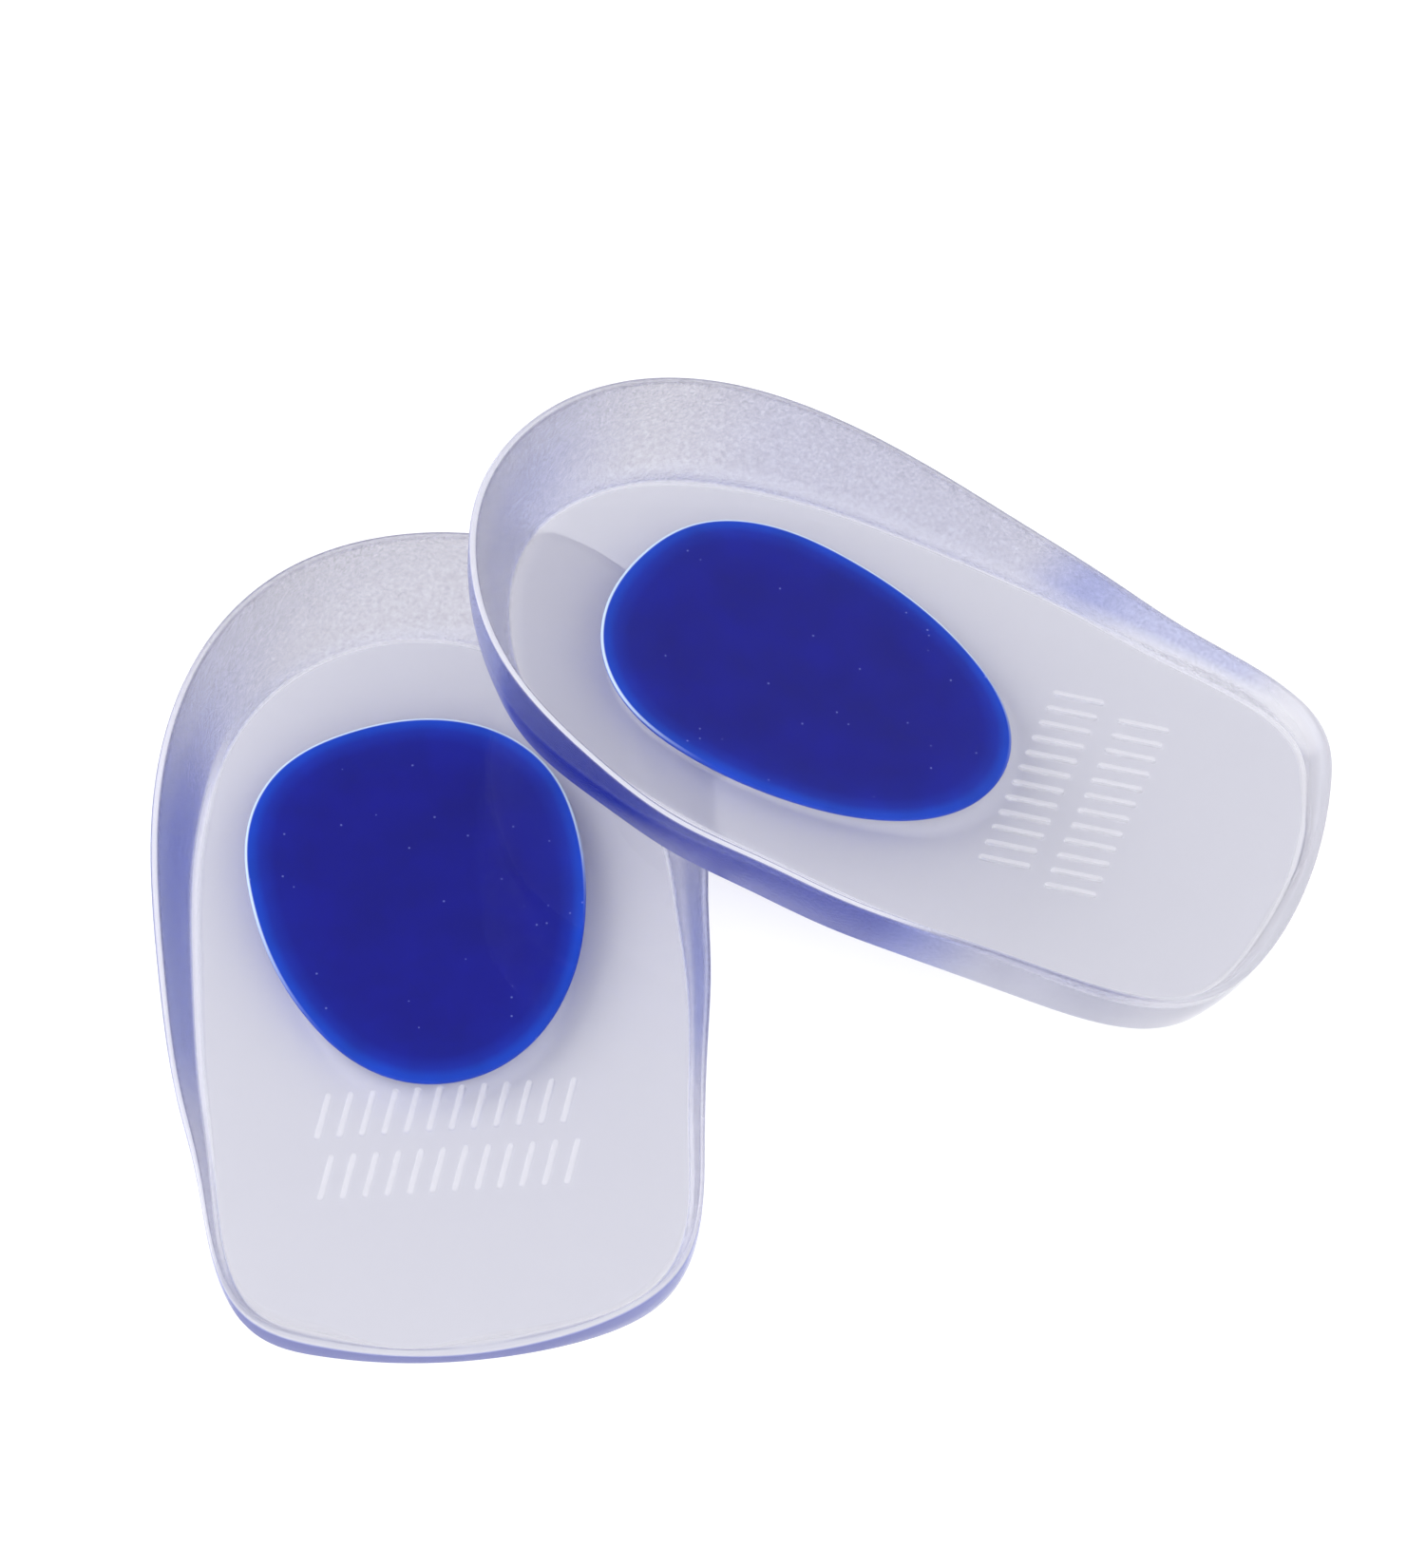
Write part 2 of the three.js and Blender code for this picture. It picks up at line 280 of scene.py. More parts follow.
def pocket_profile():
    """The pocket that holds the pad, from its mouth on the underside up its leaning side to the
    rounded top edge. Each entry is an (r, z) pair of arrays."""
    pr = pad_radius(ANG)
    zt = floor_at(pr * COS) - SKIN
    out = [(pr - PAD_TAPER, 0 * ANG)]
    side_top = (pr - 0.12, zt - 0.75)
    for k in range(1, 9):
        u = k / 8
        # a shallow bowl: steeper near the underside, flatter under the pad's edge
        r = out[0][0] + (side_top[0] - out[0][0]) * u**0.82
        z = side_top[1] * u**1.12
        out.append((r, z))
    out += bezier(side_top, (pr + 0.02, zt - 0.05), (pr - PAD_ROUND, floor_at((pr - PAD_ROUND) * COS) - SKIN), 6)
    return out


# ---------------------------------------------------------------------------- grip ribs
def rib_lines():
    """The two ends of every rib's ridge line."""
    lean, out = math.tan(math.radians(RIB_SLANT)), []
    for cx, cy in RIB_ROWS:
        for k in range(RIB_COUNT):
            mx = cx + (k - (RIB_COUNT - 1) / 2) * RIB_PITCH
            out.append((mx - lean * RIB_LENGTH / 2, cy - RIB_LENGTH / 2, mx + lean * RIB_LENGTH / 2, cy + RIB_LENGTH / 2))
    return out


RIBS = rib_lines()


def rib_distance(x, y):
    out = np.full(np.shape(x), 99.0)
    for ax, ay, bx, by in RIBS:
        ux, uy = bx - ax, by - ay
        s = np.clip(((x - ax) * ux + (y - ay) * uy) / (ux * ux + uy * uy), 0, 1)
        out = np.minimum(out, np.hypot(x - ax - s * ux, y - ay - s * uy))
    return out


def rib_height(x, y):
    """Height of the moulded grip ribs over the sole at local points."""
    return RIB_HEIGHT * smooth((RIB_HALF_WIDTH - rib_distance(x, y)) / (RIB_HALF_WIDTH - RIB_FLAT))


def ripple(x, y):
    """The faint unevenness of a poured gel surface, in millimetres."""
    rng = np.random.default_rng(7)
    out = np.zeros_like(x)
    for _ in range(26):
        wave = rng.uniform(7, 26)
        turn, phase = rng.uniform(0, 2 * np.pi, 2)
        out += np.sin((x * np.cos(turn) + y * np.sin(turn)) * 2 * np.pi / wave + phase) * wave / 26
    return 0.005 * out


def sole_points(ring_xy):
    """Points inside the sole's outline: a coarse grid, and a fine one under the ribs."""
    q = np.hypot(ring_xy[:, 0], ring_xy[:, 1])

    def inside(x, y, gap):
        a = np.mod(np.arctan2(x, y), 2 * np.pi)
        edge = np.interp(a, np.append(ANG, 2 * np.pi), np.append(q, q[0]))
        return np.hypot(x, y) < edge - gap

    span = np.arange(-75, 45, 1.4)
    gx, gy = np.meshgrid(span, span)
    gx = gx + (np.arange(gx.shape[0]) % 2)[:, None] * 0.7
    gx, gy = gx.ravel(), gy.ravel()
    keep = inside(gx, gy, 0.9)
    pts = [np.stack([gx[keep], gy[keep]], 1)]
    near = rib_distance(*pts[0].T) < RIB_HALF_WIDTH + 0.45
    pts = [pts[0][~near]]
    # rings of points round each rib, close together where its side is steep
    for ax, ay, bx, by in RIBS:
        length = math.hypot(bx - ax, by - ay)
        ux, uy = (bx - ax) / length, (by - ay) / length
        for d in (0.0, 0.14, *(RIB_FLAT + (RIB_HALF_WIDTH - RIB_FLAT) * u for u in (0, 0.15, 0.32, 0.5, 0.68, 0.85, 1.0)), RIB_HALF_WIDTH + 0.12, RIB_HALF_WIDTH + 0.4):
            sides, caps = 26, 14
            if d == 0:
                ring = [(ax + ux * length * k / sides, ay + uy * length * k / sides) for k in range(sides + 1)]
            else:
                ring = []
                for k in range(sides):
                    ring.append((ax + ux * length * k / sides - uy * d, ay + uy * length * k / sides + ux * d))
                    ring.append((ax + ux * length * (k + 0.5) / sides + uy * d, ay + uy * length * (k + 0.5) / sides - ux * d))
                turn = math.atan2(uy, ux)
                for k in range(caps + 1):
                    w = math.pi * (k / caps - 0.5)
                    ring.append((bx + d * math.cos(turn + w), by + d * math.sin(turn + w)))
                    ring.append((ax - d * math.cos(turn + w), ay - d * math.sin(turn + w)))
            pts.append(np.array(ring))
    pts = np.concatenate(pts)
    pts = np.unique(np.round(pts, 4), axis=0)
    return pts[inside(pts[:, 0], pts[:, 1], 0.35)]


# ---------------------------------------------------------------------------- mesh making
def place(points, where, mirror):
    """Local millimetres to the row frame in metres."""
    p = np.array(points, float)
    if mirror:
        p = p * np.array([-1.0, 1.0, 1.0])
    rad = math.radians
    rot = (
        Matrix.Rotation(rad(where["yaw"]), 3, "Z")
        @ Matrix.Rotation(rad(where["pitch"]), 3, "X")
        @ Matrix.Rotation(rad(where["roll"]), 3, "Y")
    )
    p = p @ np.array(rot, float).T + np.array([where["x"], where["y"], where["z"]])
    return p * MM


def make_object(name, points, faces, attributes, where, mirror):
    mesh = bpy.data.meshes.new(name)
    if mirror:
        faces = [tuple(reversed(f)) for f in faces]
    mesh.from_pydata(place(points, where, mirror).tolist(), [], [tuple(int(i) for i in f) for f in faces])
    mesh.validate()
    for key, values in attributes.items():
        a = mesh.attributes.new(key, "FLOAT", "POINT")
        a.data.foreach_set("value", np.array(values, np.float32))
    mesh.polygons.foreach_set("use_smooth", [True] * len(mesh.polygons))
    mesh.update()
    o = bpy.data.objects.new(name, mesh)
    scene.collection.objects.link(o)
    return o


def stitch(rings, start=0):
    """Faces between rings of POINTS points each, the first ring's first vertex being start."""
    n, faces = POINTS, []
    for k in range(len(rings) - 1):
        a, b = start + k * n, start + (k + 1) * n
        for i in range(n):
            j = (i + 1) % n
            faces.append((a + i, b + i, b + j, a + j))
    return faces


def shell_geometry(facing_shade, inner_shade):
    pocket = pocket_profile()
    section = shell_section(facing_shade, inner_shade)
    rings, marks = [], []

    def add(r, z, *m):
        rings.append(np.stack([r * SIN, r * COS, z], 1))
        marks.append(np.stack([k + 0 * ANG for k in (*m, *[0.0] * len(MARKS))[: len(MARKS)]], 1))

    # the pocket's roof, from near its middle out to its edge, then down its leaning side
    roof_edge = pocket[-1][0]
    for k in (0.12, 0.35, 0.6, 0.8, 0.93):
        add(roof_edge * k, floor_at(roof_edge * k * COS) - SKIN)
    for r, z in reversed(pocket[1:]):
        add(r, z)
    for r, z, *m in section:
        add(r, z, *m)
    points = np.concatenate([[[0, 0, floor_at(0) - SKIN]], *rings])
    marks = np.concatenate([np.zeros((1, len(MARKS))), *marks])
    faces = [(0, 1 + i, 1 + (i + 1) % POINTS) for i in range(POINTS)]
    faces += stitch(rings, 1)
    # the sole: a triangulated sheet inside the last ring
    last = 1 + (len(rings) - 1) * POINTS
    edge_xy = rings[-1][:, :2]
    pts = sole_points(edge_xy)
    verts = [Vector(p) for p in edge_xy.tolist()] + [Vector(p) for p in pts.tolist()]
    n = POINTS
    edges = [(i, (i + 1) % n) for i in range(n)]
    out_v, _, out_f, orig_v, _, _ = delaunay_2d_cdt(verts, edges, [], 1, 1e-7)
    q = np.hypot(edge_xy[:, 0], edge_xy[:, 1])
    index, extra = {}, []
    for i, v in enumerate(out_v):
        src = [s for s in orig_v[i] if s < n]
        if src:
            index[i] = last + src[0]
        else:
            index[i] = len(points) + len(extra)
            extra.append((v[0], v[1]))
    extra = np.array(extra)
    x, y = extra[:, 0], extra[:, 1]
    a = np.mod(np.arctan2(x, y), 2 * np.pi)
    room = np.interp(a, np.append(ANG, 2 * np.pi), np.append(q, q[0])) - np.hypot(x, y)
    z = floor_at(y) + rib_height(x, y) + ripple(x, y) * smooth(room / 4)
    points = np.concatenate([points, np.stack([x, y, z], 1)])
    sole_marks = np.zeros((len(extra), len(MARKS)))
    sole_marks[:, 5] = rib_height(x, y) / RIB_HEIGHT
    marks = np.concatenate([marks, sole_marks])
    for f in out_f:
        g = [index[i] for i in f]
        p = points[g][:, :2]
        area = sum(p[i][0] * p[(i + 1) % len(g)][1] - p[(i + 1) % len(g)][0] * p[i][1] for i in range(len(g)))
        faces.append(tuple(g) if area > 0 else tuple(reversed(g)))
    return points, faces, {k: marks[:, i] for i, k in enumerate(MARKS)}


def pad_geometry(lit):
    """The blue gel pad: a flat top with a rounded edge, a side that leans in, a flat underside.
    edge is the distance in from the top's edge in millimetres; the other attribute is 1 on the thin pale
    bond line where the pad's top edge meets the clear gel, painted brighter as a highlight on the side towards the
    light.
    lit is the angle of that side, where the painted highlight is strongest; it fades out on the far side."""
    pr = pad_radius(ANG)
    rings, marks = [], []

    def add(r, z, e, bond_highlight=0.0):
        rings.append(np.stack([r * SIN, r * COS, z + 0 * ANG], 1))
        # the bond line's painted highlight, strongest on the side towards lit
        share = float(bond_highlight) * smooth((np.cos(ANG - lit) + 0.75) / 0.9)
        marks.append(np.stack([np.full(POINTS, float(e)), share], 1))

    pocket = pocket_profile()
    mouth = pocket[0][0]
    for k in (0.15, 0.5, 0.85, 0.97):
        add(mouth * k, 0.06, 20.0)
    add(mouth + 0.02, 0.09, 3.0)
    side = pocket[1:-6]
    for k, (r, z) in enumerate(side):
        add(r + PAD_OVERLAP, z + 0.012, 0.0, 0.0)
    for k, (r, z) in enumerate(pocket[-6:-1]):
        add(r + PAD_OVERLAP, z + 0.012, 0.0, (0, 0.3, 0.8, 1, 1)[k])
    for off, bond_highlight in ((PAD_ROUND - 0.02, 1), (PAD_ROUND + 0.08, 0.25), (PAD_ROUND + 0.16, 0), (PAD_ROUND + 0.35, 0), (1.05, 0), (1.4, 0), (1.9, 0), (2.6, 0), (3.5, 0), (4.8, 0), (6.5, 0), (8.5, 0)):
        r = pr - off
        add(r, floor_at(r * COS) - SKIN + PAD_OVERLAP, off - 0.5, bond_highlight)
    for k in (0.8, 0.5, 0.2):
        r = (pr - 8.5) * k
        add(r, floor_at(r * COS) - SKIN + PAD_OVERLAP, 12)
    points = np.concatenate([[[0, 0, 0.06]], *rings, [[0, 0, floor_at(0) - SKIN + PAD_OVERLAP]]])
    marks = np.concatenate([[[20.0, 0.0]], *marks, [[20.0, 0.0]]])
    end = len(points) - 1
    faces = [(0, 1 + i, 1 + (i + 1) % POINTS) for i in range(POINTS)]
    faces += stitch(rings, 1)
    last = 1 + (len(rings) - 1) * POINTS
    faces += [(end, last + (i + 1) % POINTS, last + i) for i in range(POINTS)]
    return points, faces, {"edge": marks[:, 0], "bond_highlight": marks[:, 1]}


# ---------------------------------------------------------------------------- materials
GEL_ABSORPTION = 10.0
GEL_ABSORBED = (0.15, 0.15, 0.38, 1)
SOLE_TINT = (0.93, 0.93, 0.945, 1)
WALL_TINT = (0.68, 0.665, 0.68, 1)
SOLE_TRANSMISSION = 0.995
WALL_TRANSMISSION = 0.88
SOLE_ROUGHNESS = 0.04
WALL_ROUGHNESS = 0.22
PEEL = 0.02
# painted shade: the deep blue the outer wall is painted, by which way it faces
OUTER_SHADE_TINT = (0.24, 0.3, 0.86, 1)
# painted highlight: the whiter colour of the rim's top and of the side walls' fillet
RIM_HIGHLIGHT_TINT = (0.82, 0.82, 0.9, 1)
# painted shade: the dark line along the rim's rounded edges
CREASE_SHADE_TINT = (0.25, 0.25, 0.4, 1)
OUTER_ROUGHNESS = 0.2
RIM_ROUGHNESS = 0.3
OUTER_TRANSMISSION = 0.92
RIM_TRANSMISSION = 0.3
UNDER_TINT = (0.635, 0.635, 0.7, 1)
UNDER_TRANSMISSION = 0.4
MILK_TINT = (0.66, 0.66, 0.72, 1)
# painted shade: the blue painted on the inner side walls
SHADE_TINT = (0.3, 0.34, 0.66, 1)
MILK_TRANSMISSION = 0.45
# painted shade: the dark blue band on the outer wall along the middle of each side
BAND_SHADE_TINT = (0.06, 0.08, 0.46, 1)
BAND_TRANSMISSION = 0.9
# painted shade: the dark blue of the outer wall round the front of the tongue
FRONT_SHADE_TINT = (0.195, 0.21, 0.437, 1)
FRONT_TRANSMISSION = 0.2
FRONT_SPECULAR = 0.0
UNDER_ROUGHNESS = 0.3
RIB_TINT = (0.97, 0.97, 0.99, 1)
RIB_ROUGHNESS = 0.25
RIB_TRANSMISSION = 0.8
FLOOR_LOW = 0.96
FLOOR_HIGH = 0.98
THROUGH_TINT = (0.995, 0.995, 0.995, 1)
GRAIN_STRENGTH = 1.0
MOTTLE = 0.22


def nodes_of(name):
    m = bpy.data.materials.new(name)
    m.use_nodes = True
    tree = m.node_tree
    tree.nodes.clear()
    return m, tree


def node(tree, kind, **values):
    n = tree.nodes.new(kind)
    for k, v in values.items():
        if k in n.inputs:
            n.inputs[k].default_value = v
        else:
            setattr(n, k, v)
    return n


def clear_gel():
    m, t = nodes_of("clear_gel")
    link = t.links.new
    out = node(t, "ShaderNodeOutputMaterial")
    wall = node(t, "ShaderNodeAttribute", attribute_name="wall")
    coord = node(t, "ShaderNodeTexCoord")
    # sandy mould grain on the walls, a much fainter orange peel on the sole
    grain = node(t, "ShaderNodeTexNoise", Scale=2000.0, Detail=3.0, Roughness=0.7)
    peel = node(t, "ShaderNodeTexNoise", Scale=230.0, Detail=2.0, Roughness=0.5)
    link(coord.outputs["Object"], grain.inputs["Vector"])
    link(coord.outputs["Object"], peel.inputs["Vector"])
    milk = node(t, "ShaderNodeAttribute", attribute_name="milk")
    grained = node(t, "ShaderNodeMath", operation="SUBTRACT")
    link(wall.outputs["Fac"], grained.inputs[0])
    link(milk.outputs["Fac"], grained.inputs[1])
    bump_wall = node(t, "ShaderNodeMath", operation="MULTIPLY")
    link(grain.outputs["Fac"], bump_wall.inputs[0])
    link(grained.outputs[0], bump_wall.inputs[1])
    total = node(t, "ShaderNodeMath", operation="MULTIPLY_ADD")
    link(peel.outputs["Fac"], total.inputs[0])
    total.inputs[1].default_value = PEEL
    link(bump_wall.outputs[0], total.inputs[2])
    bump = node(t, "ShaderNodeBump", Strength=GRAIN_STRENGTH, Distance=0.00012)
    link(total.outputs[0], bump.inputs["Height"])
    outer = node(t, "ShaderNodeAttribute", attribute_name="outer")
    rim = node(t, "ShaderNodeAttribute", attribute_name="rim")
    crease = node(t, "ShaderNodeAttribute", attribute_name="crease")
    under = node(t, "ShaderNodeAttribute", attribute_name="under")
    rib = node(t, "ShaderNodeAttribute", attribute_name="rib")
    shade = node(t, "ShaderNodeAttribute", attribute_name="shade")
    mottle_share = node(t, "ShaderNodeAttribute", attribute_name="mottle")
    band = node(t, "ShaderNodeAttribute", attribute_name="band")
    front = node(t, "ShaderNodeAttribute", attribute_name="front")

    def blend(kind, stages):
        """A value or colour that starts at the sole's and moves to each stage's by its mark."""
        last = None
        for mark, value in stages:
            if mark is None:
                last = value
                continue
            if kind == "colour":
                n = node(t, "ShaderNodeMix", data_type="RGBA")
                slots = (6, 7, 2)
            else:
                n = node(t, "ShaderNodeMix", data_type="FLOAT")
                slots = (2, 3, 0)
            link(mark.outputs["Fac"], n.inputs[0])
            if hasattr(last, "is_output"):
                link(last, n.inputs[slots[0]])
            else:
                n.inputs[slots[0]].default_value = last
            n.inputs[slots[1]].default_value = value
            last = n.outputs[slots[2]]
        return last

    # the grain also shows as a fine mottling of the walls
    mottle = node(t, "ShaderNodeMapRange")
    mottle.inputs["From Min"].default_value = 0.3
    mottle.inputs["From Max"].default_value = 0.7
    mottle.inputs["To Min"].default_value = 1.0 - MOTTLE
    mottle.inputs["To Max"].default_value = 1.0 + MOTTLE
    link(grain.outputs["Fac"], mottle.inputs["Value"])
    mottled = node(t, "ShaderNodeMix", data_type="RGBA", blend_type="MULTIPLY")
    link(mottle_share.outputs["Fac"], mottled.inputs[0])
    link(mottle.outputs[0], mottled.inputs[7])
    p = node(t, "ShaderNodeBsdfPrincipled")
    p.inputs["IOR"].default_value = 1.41
    link(mottled.outputs[2], p.inputs["Base Color"])
    link(
        blend(
            "colour",
            [
                (None, SOLE_TINT),
                (wall, WALL_TINT),
                (shade, SHADE_TINT),
                (milk, MILK_TINT),
                (outer, OUTER_SHADE_TINT),
                (rim, RIM_HIGHLIGHT_TINT),
                (crease, CREASE_SHADE_TINT),
                (band, BAND_SHADE_TINT),
                (front, FRONT_SHADE_TINT),
                (under, UNDER_TINT),
                (rib, RIB_TINT),
            ],
        ),
        mottled.inputs[6],
    )
    link(
        blend(
            "value",
            [(None, SOLE_ROUGHNESS), (wall, WALL_ROUGHNESS), (outer, OUTER_ROUGHNESS), (rim, RIM_ROUGHNESS), (under, UNDER_ROUGHNESS), (rib, RIB_ROUGHNESS)],
        ),
        p.inputs["Roughness"],
    )
    link(
        blend(
            "value",
            [(None, SOLE_TRANSMISSION), (wall, WALL_TRANSMISSION), (milk, MILK_TRANSMISSION), (outer, OUTER_TRANSMISSION), (rim, RIM_TRANSMISSION), (band, BAND_TRANSMISSION), (front, FRONT_TRANSMISSION), (under, UNDER_TRANSMISSION), (rib, RIB_TRANSMISSION)],
        ),
        p.inputs["Transmission Weight"],
    )
    link(blend("value", [(None, 0.5), (front, FRONT_SPECULAR)]), p.inputs["Specular IOR Level"])
    link(bump.outputs[0], p.inputs["Normal"])
    # light reaches the floor under the gel straight through it, as it does through a thin soft gel
    path = node(t, "ShaderNodeLightPath")
    straight = node(t, "ShaderNodeMath", operation="MAXIMUM")
    link(path.outputs["Is Shadow Ray"], straight.inputs[0])
    link(path.outputs["Is Diffuse Ray"], straight.inputs[1])
    through = node(t, "ShaderNodeBsdfTransparent")
    through.inputs["Color"].default_value = THROUGH_TINT
    choose = node(t, "ShaderNodeMixShader")
    link(straight.outputs[0], choose.inputs[0])
    link(p.outputs[0], choose.inputs[1])
    link(through.outputs[0], choose.inputs[2])
    link(choose.outputs[0], out.inputs["Surface"])
    v = node(t, "ShaderNodeVolumeAbsorption", Density=GEL_ABSORPTION)
    v.inputs["Color"].default_value = GEL_ABSORBED
    link(v.outputs[0], out.inputs["Volume"])
    return m


# a pale bond line, painted brighter as a highlight on the side towards the light
BOND_HIGHLIGHT_COLOUR = (0.6, 0.74, 0.93, 1)


def blue_gel():
    m, t = nodes_of("blue_gel")
    link = t.links.new
    out = node(t, "ShaderNodeOutputMaterial")
    edge = node(t, "ShaderNodeAttribute", attribute_name="edge")
    coord = node(t, "ShaderNodeTexCoord")
    # painted glow: the blue is painted lighter near the edge, for the light let through where the gel is thin over
    # its leaning edge
    ramp = node(t, "ShaderNodeValToRGB")
    scale = node(t, "ShaderNodeMath", operation="DIVIDE")
    link(edge.outputs["Fac"], scale.inputs[0])
    scale.inputs[1].default_value = 8.0
    link(scale.outputs[0], ramp.inputs["Fac"])
    e = ramp.color_ramp.elements
    e[0].position, e[0].color = 0.0, (0.004, 0.05, 0.5, 1)
    e[1].position, e[1].color = 1.0, (0.003, 0.004, 0.22, 1)
    for pos, col in ((0.06, (0.004, 0.045, 0.46, 1)), (0.18, (0.004, 0.02, 0.34, 1)), (0.4, (0.003, 0.007, 0.25, 1))):
        k = ramp.color_ramp.elements.new(pos)
        k.color = col
    # slow clouding in the pour, and sparse pale specks
    cloud = node(t, "ShaderNodeTexNoise", Scale=140.0, Detail=3.0)
    link(coord.outputs["Object"], cloud.inputs["Vector"])
    cloud_gain = node(t, "ShaderNodeMapRange")
    cloud_gain.inputs["From Min"].default_value = 0.3
    cloud_gain.inputs["From Max"].default_value = 0.7
    cloud_gain.inputs["To Min"].default_value = 0.9
    cloud_gain.inputs["To Max"].default_value = 1.12
    link(cloud.outputs["Fac"], cloud_gain.inputs["Value"])
    tone = node(t, "ShaderNodeMix", data_type="RGBA", blend_type="MULTIPLY")
    tone.inputs[0].default_value = 1.0
    link(ramp.outputs["Color"], tone.inputs[6])
    link(cloud_gain.outputs[0], tone.inputs[7])
    speck = node(t, "ShaderNodeTexVoronoi", Scale=700.0)
    link(coord.outputs["Object"], speck.inputs["Vector"])
    near = node(t, "ShaderNodeMath", operation="LESS_THAN")
    link(speck.outputs["Distance"], near.inputs[0])
    near.inputs[1].default_value = 0.1
    pick = node(t, "ShaderNodeSeparateColor")
    link(speck.outputs["Color"], pick.inputs[0])
    rare = node(t, "ShaderNodeMath", operation="GREATER_THAN")
    link(pick.outputs[0], rare.inputs[0])
    rare.inputs[1].default_value = 0.8
    both = node(t, "ShaderNodeMath", operation="MULTIPLY")
    link(near.outputs[0], both.inputs[0])
    link(rare.outputs[0], both.inputs[1])
    soft = node(t, "ShaderNodeMath", operation="MULTIPLY")
    link(both.outputs[0], soft.inputs[0])
    soft.inputs[1].default_value = 0.4
    mixed = node(t, "ShaderNodeMix", data_type="RGBA")
    link(soft.outputs[0], mixed.inputs[0])
    link(tone.outputs[2], mixed.inputs[6])
    mixed.inputs[7].default_value = (0.25, 0.3, 0.75, 1)
    # the bond line's painted highlight
    bond_highlight = node(t, "ShaderNodeAttribute", attribute_name="bond_highlight")
    bond_highlighted = node(t, "ShaderNodeMix", data_type="RGBA")
    link(bond_highlight.outputs["Fac"], bond_highlighted.inputs[0])
    link(mixed.outputs[2], bond_highlighted.inputs[6])
    bond_highlighted.inputs[7].default_value = BOND_HIGHLIGHT_COLOUR
    p = node(t, "ShaderNodeBsdfPrincipled", Roughness=0.45)
    p.inputs["Specular IOR Level"].default_value = 0.15
    link(bond_highlighted.outputs[2], p.inputs["Base Color"])
    link(p.outputs[0], out.inputs["Surface"])
    return m


def floor_material():
    m, t = nodes_of("floor")
    out = node(t, "ShaderNodeOutputMaterial")
    p = node(t, "ShaderNodeBsdfPrincipled", Roughness=0.6)
    p.inputs["Specular IOR Level"].default_value = 0.2
    noise = node(t, "ShaderNodeTexNoise", Scale=90.0, Detail=2.0)
    ramp = node(t, "ShaderNodeMapRange")
    ramp.inputs["To Min"].default_value = FLOOR_LOW
    ramp.inputs["To Max"].default_value = FLOOR_HIGH
    t.links.new(noise.outputs["Fac"], ramp.inputs["Value"])
    t.links.new(ramp.outputs[0], p.inputs["Base Color"])
    t.links.new(p.outputs[0], out.inputs["Surface"])
    return m


# ---------------------------------------------------------------------------- the two cups
gel, blue = clear_gel(), blue_gel()
LIT_TOWARDS = math.radians(-20)  # the side where the bond line's painted highlight is strongest, clockwise from +Y of the row frame
PALE_TOWARDS = math.radians(45)  # the outer walls get least painted shade where they face this way and most on the other side
PALE_SHARE = 0.15
CLEAR_TOWARDS = math.radians(10)  # the inner sides get least painted shade where they face this way
for side, where, mirror in (("left", LEFT, False), ("right", RIGHT, True)):
    # the angle round the row frame, clockwise from +Y, that each point of the outline faces
    facing = (-ANG if mirror else ANG) - math.radians(where["yaw"])
    # how much painted shade the outer wall gets at each angle, by which way it faces
    facing_shade = PALE_SHARE + (1 - PALE_SHARE) * smooth((0.35 - np.cos(facing - PALE_TOWARDS)) / 0.9)
    if side == "right":
        facing_shade = facing_shade * (0.1 + 0.9 * smooth((ALONG + 40) / 15))  # this cup's painted shade on the outer wall fades towards its front
    # how much painted shade the inner sides get at each angle, by which way they face
    inner_shade = HOLLOW * (0.1 + 0.9 * smooth((0.5 - np.cos(facing - CLEAR_TOWARDS)) / 0.8))
    if side == "right":
        # more painted shade on this cup's inner sides towards its front
        inner_shade = np.maximum(inner_shade, 0.8 * smooth((-22 - ALONG) / 12) * smooth((66 + ALONG) / 12))
    shell_pts, shell_faces, shell_attr = shell_geometry(facing_shade, inner_shade)
    lit = LIT_TOWARDS + math.radians(where["yaw"])
    pad_pts, pad_faces, pad_attr = pad_geometry(-lit if mirror else lit)
    shell = make_object(side + "_shell_gel", shell_pts, shell_faces, shell_attr, where, mirror)
    shell.data.materials.append(gel)
    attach(shell, side + "_cup")
    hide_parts(side + "_cup_shell")
    pad = make_object(side + "_pad_gel", pad_pts, pad_faces, pad_attr, where, mirror)
    pad.data.materials.append(blue)
    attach(pad, side + "_cup")
    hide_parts(side + "_gel_pad")

# ---------------------------------------------------------------------------- floor and light
WORLD_STRENGTH = 1.4
WORLD_LOW = (1.0, 1.0, 1.0, 1)
WORLD_TOP = (1.0, 1.0, 1.0, 1)
WORLD_TOP_AT = 0.6
DIM_TOWARDS = (0.0, 0.5736, 0.8192)
DIM_OUTER = 50
DIM_INNER = 20
DIM_COLOUR = (0.12, 0.12, 0.14, 1)
KEY_AT = (-0.85, 0.55, 0.85)
KEY_SIZE = 0.9
KEY_POWER = 7.0
floor_mesh = bpy.data.meshes.new("floor")
S, D = 3.0, 24
grid = [(S * (2 * i / D - 1), S * (2 * j / D - 1), -0.00003) for j in range(D + 1) for i in range(D + 1)]
quads = [
    (j * (D + 1) + i, j * (D + 1) + i + 1, (j + 1) * (D + 1) + i + 1, (j + 1) * (D + 1) + i)
    for j in range(D)
    for i in range(D)
]
floor_mesh.from_pydata(grid, [], quads)
floor_mesh.materials.append(floor_material())
floor = bpy.data.objects.new("floor", floor_mesh)
scene.collection.objects.link(floor)

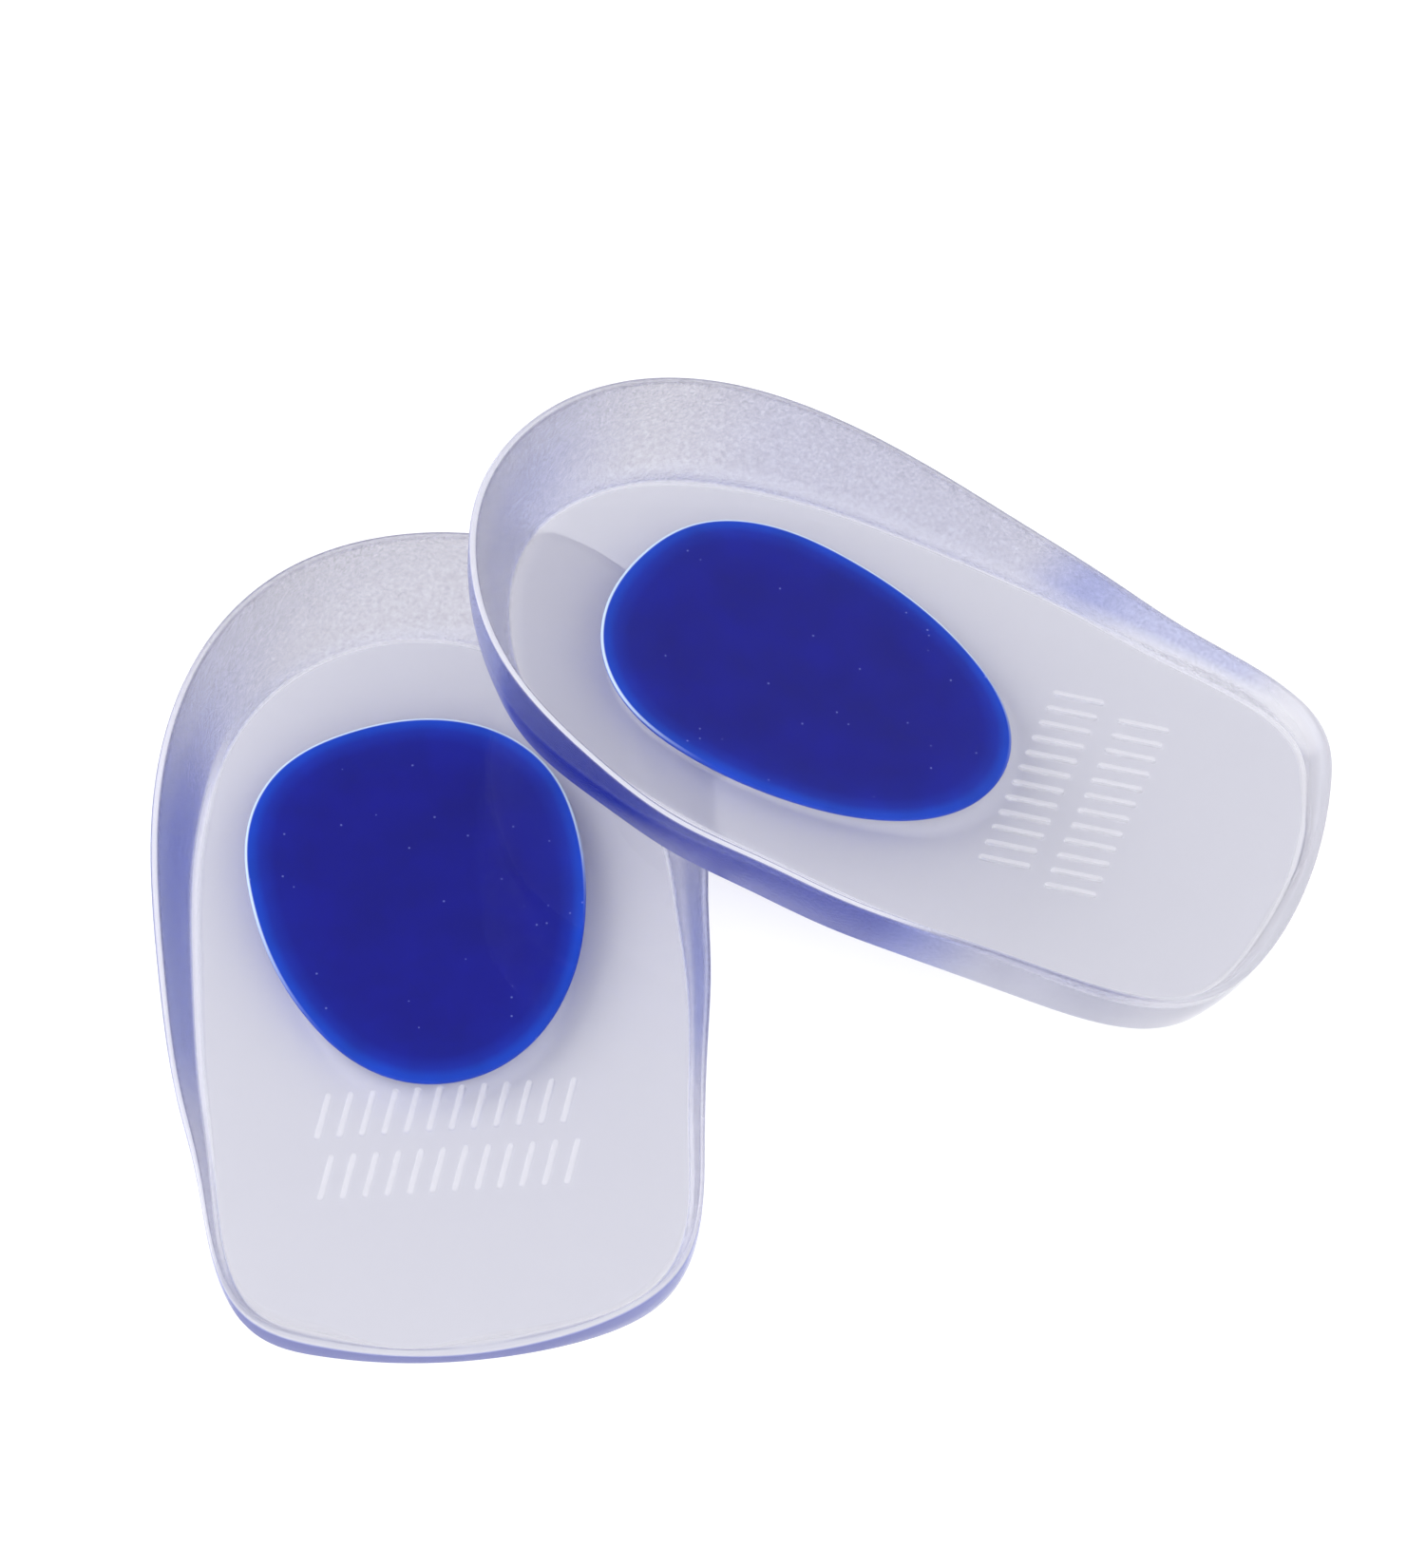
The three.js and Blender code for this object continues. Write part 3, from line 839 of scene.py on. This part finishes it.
world = bpy.data.worlds.new("studio")
scene.world = world
world.use_nodes = True
wt = world.node_tree
wt.nodes.clear()
w_out = wt.nodes.new("ShaderNodeOutputWorld")
w_bg = wt.nodes.new("ShaderNodeBackground")
w_tc = wt.nodes.new("ShaderNodeTexCoord")
w_sep = wt.nodes.new("ShaderNodeSeparateXYZ")
w_ramp = wt.nodes.new("ShaderNodeValToRGB")
wt.links.new(w_tc.outputs["Generated"], w_sep.inputs[0])
wt.links.new(w_sep.outputs["Z"], w_ramp.inputs["Fac"])
r = w_ramp.color_ramp.elements
r[0].position, r[0].color = 0.0, WORLD_LOW
r[1].position, r[1].color = WORLD_TOP_AT, WORLD_TOP
# a dimmer patch of ceiling, which keeps the flat soles from looking veiled
w_dot = wt.nodes.new("ShaderNodeVectorMath")
w_dot.operation = "DOT_PRODUCT"
w_dot.inputs[1].default_value = DIM_TOWARDS
w_map = wt.nodes.new("ShaderNodeMapRange")
w_map.interpolation_type = "SMOOTHSTEP"
w_map.inputs["From Min"].default_value = math.cos(math.radians(DIM_OUTER))
w_map.inputs["From Max"].default_value = math.cos(math.radians(DIM_INNER))
w_mix = wt.nodes.new("ShaderNodeMix")
w_mix.data_type = "RGBA"
wt.links.new(w_tc.outputs["Generated"], w_dot.inputs[0])
wt.links.new(w_dot.outputs["Value"], w_map.inputs["Value"])
wt.links.new(w_map.outputs[0], w_mix.inputs[0])
wt.links.new(w_ramp.outputs[0], w_mix.inputs[6])
w_mix.inputs[7].default_value = DIM_COLOUR
wt.links.new(w_mix.outputs[2], w_bg.inputs["Color"])
wt.links.new(w_bg.outputs[0], w_out.inputs["Surface"])
w_bg.inputs["Strength"].default_value = WORLD_STRENGTH


def softbox(name, where, size, power, color=(1, 1, 1)):
    data = bpy.data.lights.new(name, "AREA")
    data.shape = "RECTANGLE"
    data.size, data.size_y = size
    data.energy = power
    data.color = color
    o = bpy.data.objects.new(name, data)
    scene.collection.objects.link(o)
    o.location = where
    o.rotation_mode = "QUATERNION"
    o.rotation_quaternion = (Vector((0, 0.01, 0)) - Vector(where)).to_track_quat("-Z", "Y")
    return o


key = softbox("key", KEY_AT, (KEY_SIZE, KEY_SIZE), KEY_POWER)
key.visible_glossy = key.visible_transmission = False

scene.view_settings.view_transform = "Standard"
scene.view_settings.look = "None"
scene.view_settings.exposure = 0.0
scene.view_settings.gamma = 1.0
